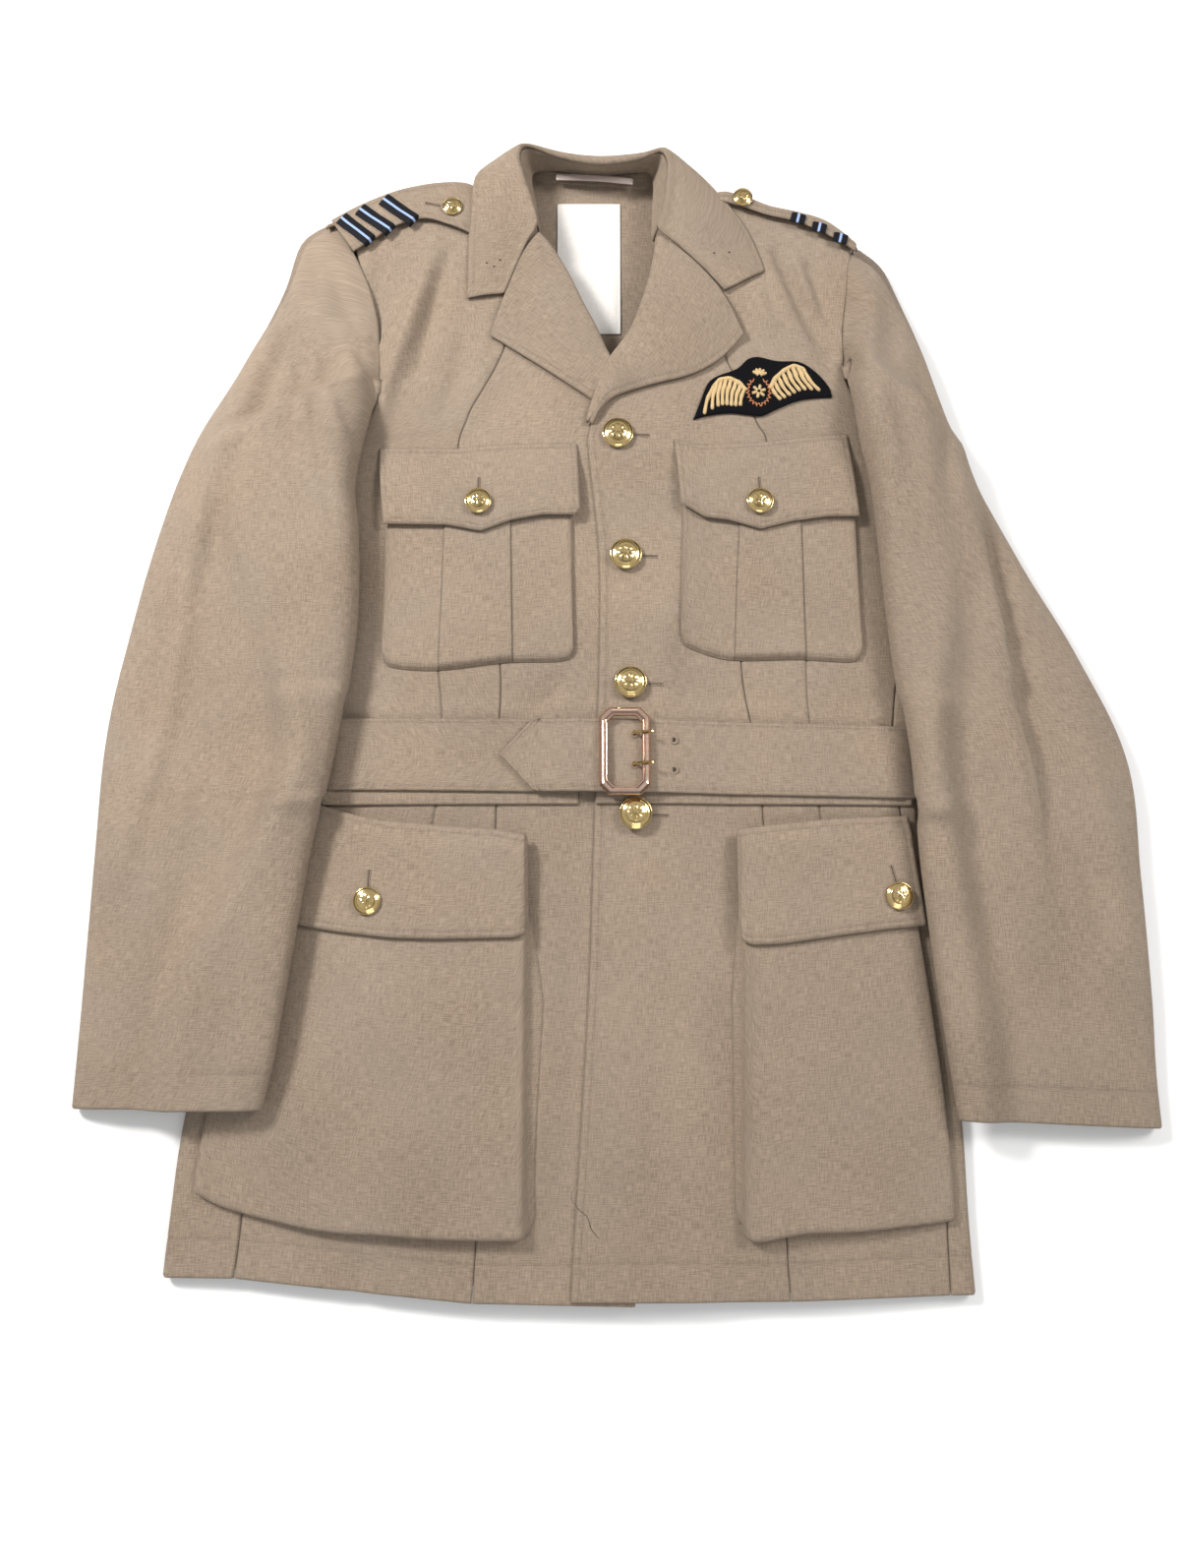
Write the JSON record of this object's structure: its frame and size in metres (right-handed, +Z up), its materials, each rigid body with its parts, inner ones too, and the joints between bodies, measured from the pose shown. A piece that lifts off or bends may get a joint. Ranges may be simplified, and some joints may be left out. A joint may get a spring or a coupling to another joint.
{
  "type": "pilot uniform jacket",
  "caption": "Belted pilot's uniform jacket laid flat: open collar and lapels, buttoned front, patch pockets with flaps, shoulder straps and a buckled self-cloth belt.",
  "frame": {"origin": "middle of the outline, on the plane the jacket lies on", "axes": "+Y towards the collar, +X towards the wearer's left side, +Z up out of the plane"},
  "size_m": [0.7466, 0.8636, 0.0565],
  "materials": {
    "stone_cloth": "matt stone-coloured gabardine",
    "braid": "black rank braid with a pale-blue centre line",
    "gilt_metal": "polished gilt",
    "buckle_metal": "polished rose gilt",
    "satin": "grey-brown satin",
    "label_cloth": "white woven tape",
    "badge_felt": "black felt with cream and brown cord"
  },
  "bodies": {
    "root": {"back": "stone_cloth", "side_body_right": "stone_cloth", "side_body_left": "stone_cloth", "front_side_right": "stone_cloth", "front_right": "stone_cloth", "front_side_left": "stone_cloth", "front_left": "stone_cloth", "sleeve_right": "stone_cloth", "sleeve_left": "stone_cloth", "lapel_right": "stone_cloth", "lapel_left": "stone_cloth", "collar_fall": "stone_cloth", "collar_stand": "stone_cloth", "shoulder_strap_right": "stone_cloth", "shoulder_strap_left": "stone_cloth", "chest_pocket_right": "stone_cloth", "chest_pocket_left": "stone_cloth", "chest_flap_right": "stone_cloth", "chest_flap_left": "stone_cloth", "lower_pocket_right": "stone_cloth", "lower_pocket_left": "stone_cloth", "lower_flap_right": "stone_cloth", "lower_flap_left": "stone_cloth", "waist_band_right": "stone_cloth", "waist_band_left": "stone_cloth", "belt": "stone_cloth", "braid_right_1": "braid", "braid_right_2": "braid", "braid_right_3": "braid", "braid_left_1": "braid", "braid_left_2": "braid", "braid_left_3": "braid", "prong_upper": "gilt_metal", "prong_lower": "gilt_metal", "button_front_1": "gilt_metal", "button_front_2": "gilt_metal", "button_front_3": "gilt_metal", "button_front_4": "gilt_metal", "button_chest_right": "gilt_metal", "button_chest_left": "gilt_metal", "button_lower_right": "gilt_metal", "button_lower_left": "gilt_metal", "button_strap_right": "gilt_metal", "button_strap_left": "gilt_metal", "buckle_frame": "buckle_metal", "hanger_loop": "satin", "label": "label_cloth", "badge": "badge_felt"}
  },
  "joints": []
}
